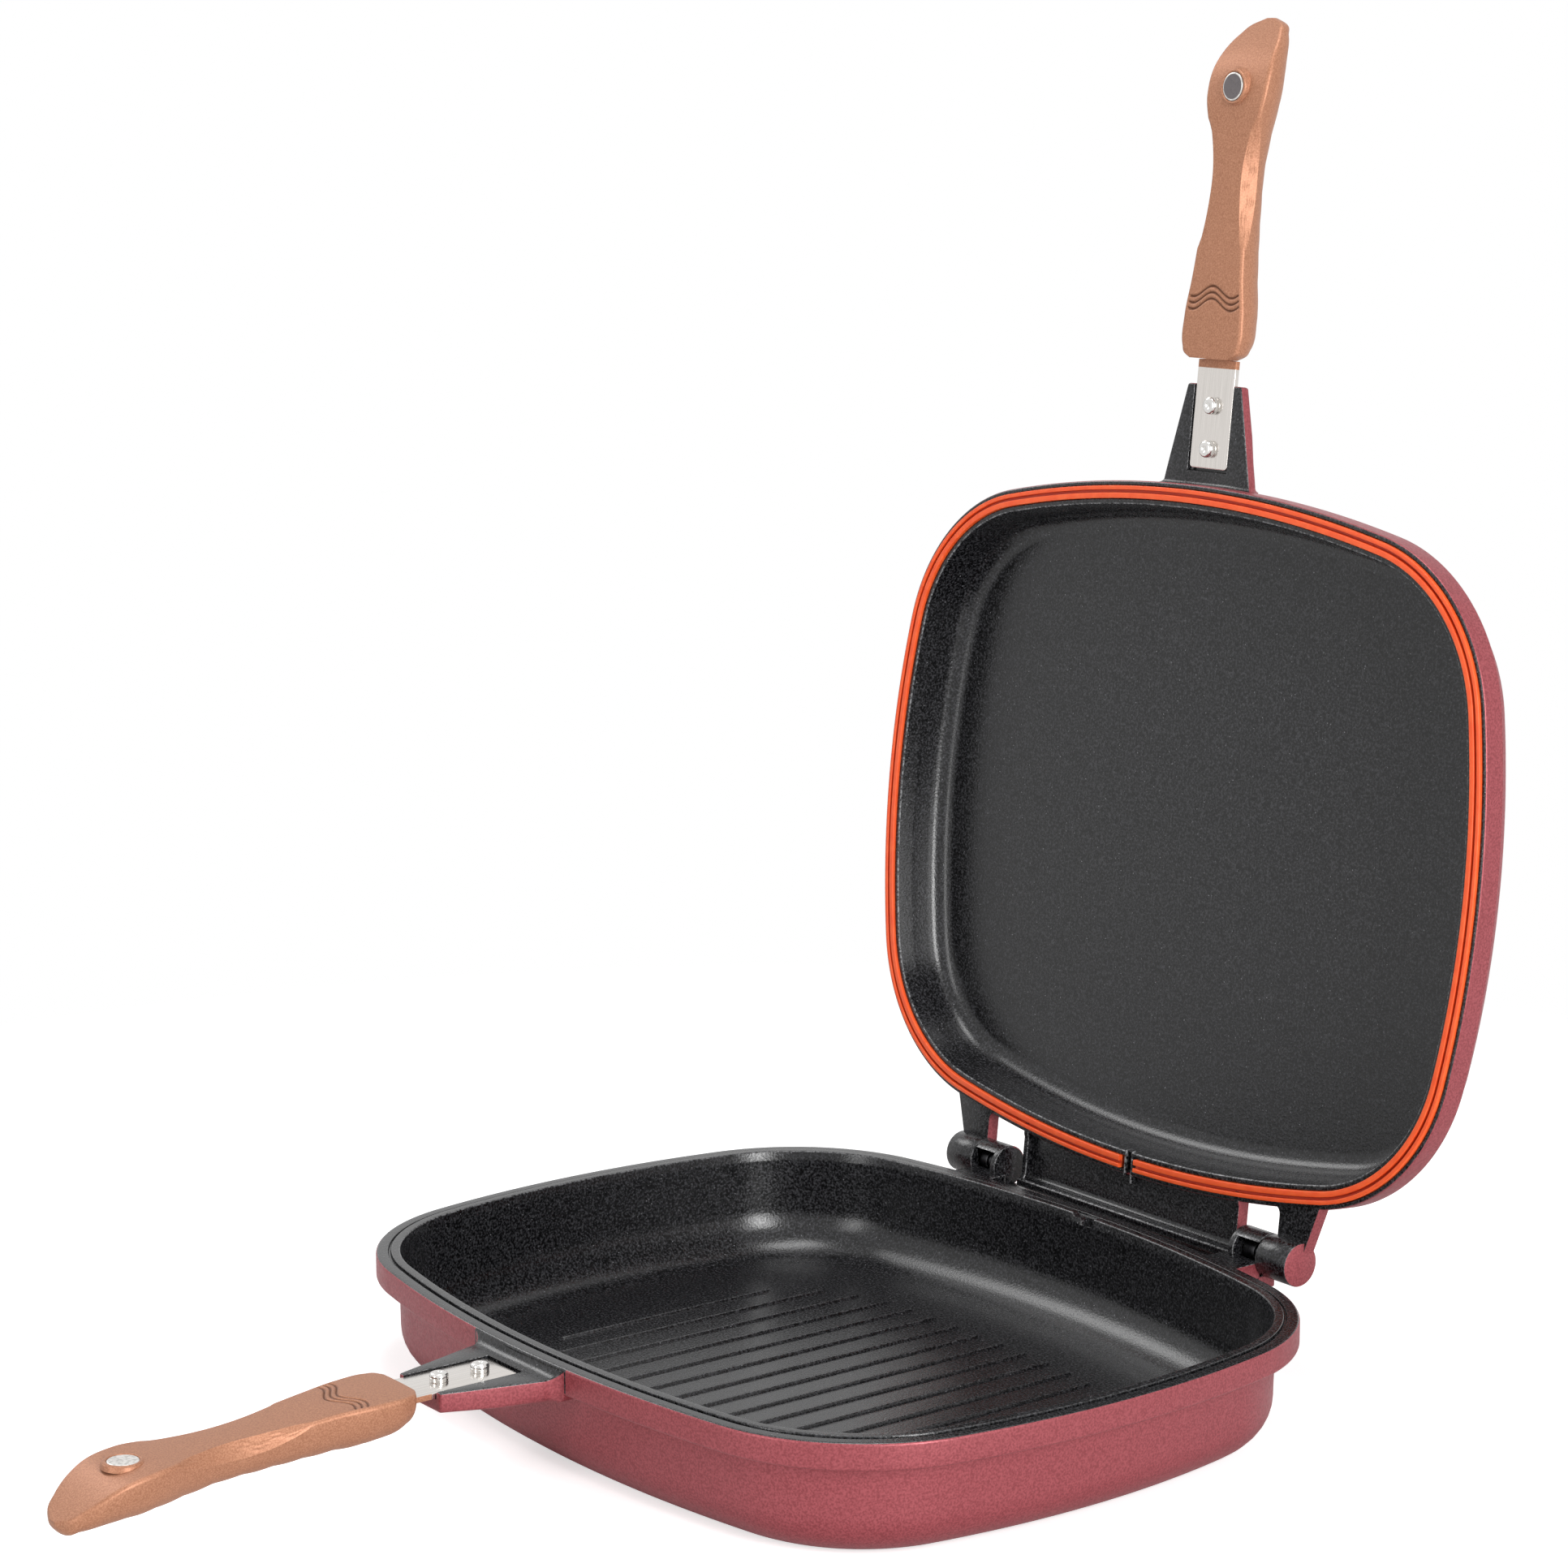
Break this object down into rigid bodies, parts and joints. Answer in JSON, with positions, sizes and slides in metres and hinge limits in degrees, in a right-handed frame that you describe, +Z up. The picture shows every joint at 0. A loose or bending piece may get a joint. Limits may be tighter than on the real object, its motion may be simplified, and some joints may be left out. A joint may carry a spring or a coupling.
{
  "type": "double_sided_flip_pan",
  "caption": "Folding pan for the hob: a deep ridged pan and a shallow sealed pan on a hooked rear hinge, each with a riveted tang and a drooping handle; it closes to be turned over.",
  "frame": {"origin": "centre of the flat base of the lower pan, on the surface it stands on", "axes": "+X along the hinge, +Y from the handles to the hinge, +Z up; the lid stands open behind the pan"},
  "size_m": [0.4022, 0.6405, 0.6057],
  "materials": {
    "cast_aluminium_red": "satin red metallic paint outside, charcoal speckled non-stick coating on the cooking side",
    "silicone_orange": "matt moulded silicone",
    "stainless_steel": "lightly brushed",
    "blackened_steel": "dark, worn at the edges",
    "phenolic_copper_paint": "satin copper coloured lacquer on moulded phenolic",
    "nickel_plate": "bright nickel plate with fine scratches"
  },
  "bodies": {
    "lower": {"lower_pan": "cast_aluminium_red", "lower_tang": "stainless_steel", "lower_rivet_inner": "stainless_steel", "lower_rivet_outer": "stainless_steel", "lower_handle": "phenolic_copper_paint", "lower_handle_magnet": "nickel_plate"},
    "lid": {"upper_pan": "cast_aluminium_red", "lid_seal": "silicone_orange", "hinge_pin_left": "blackened_steel", "hinge_pin_right": "blackened_steel", "upper_tang": "stainless_steel", "upper_rivet_inner": "stainless_steel", "upper_rivet_outer": "stainless_steel", "upper_handle": "phenolic_copper_paint", "upper_handle_magnet": "nickel_plate"}
  },
  "joints": [
    {"name": "lid_hinge", "type": "hinge", "parent": "lower", "child": "lid", "pos_m": [0, 0.1774, 0.0552], "axis": [1, 0, 0], "range_deg": [0, 95.6]}
  ]
}
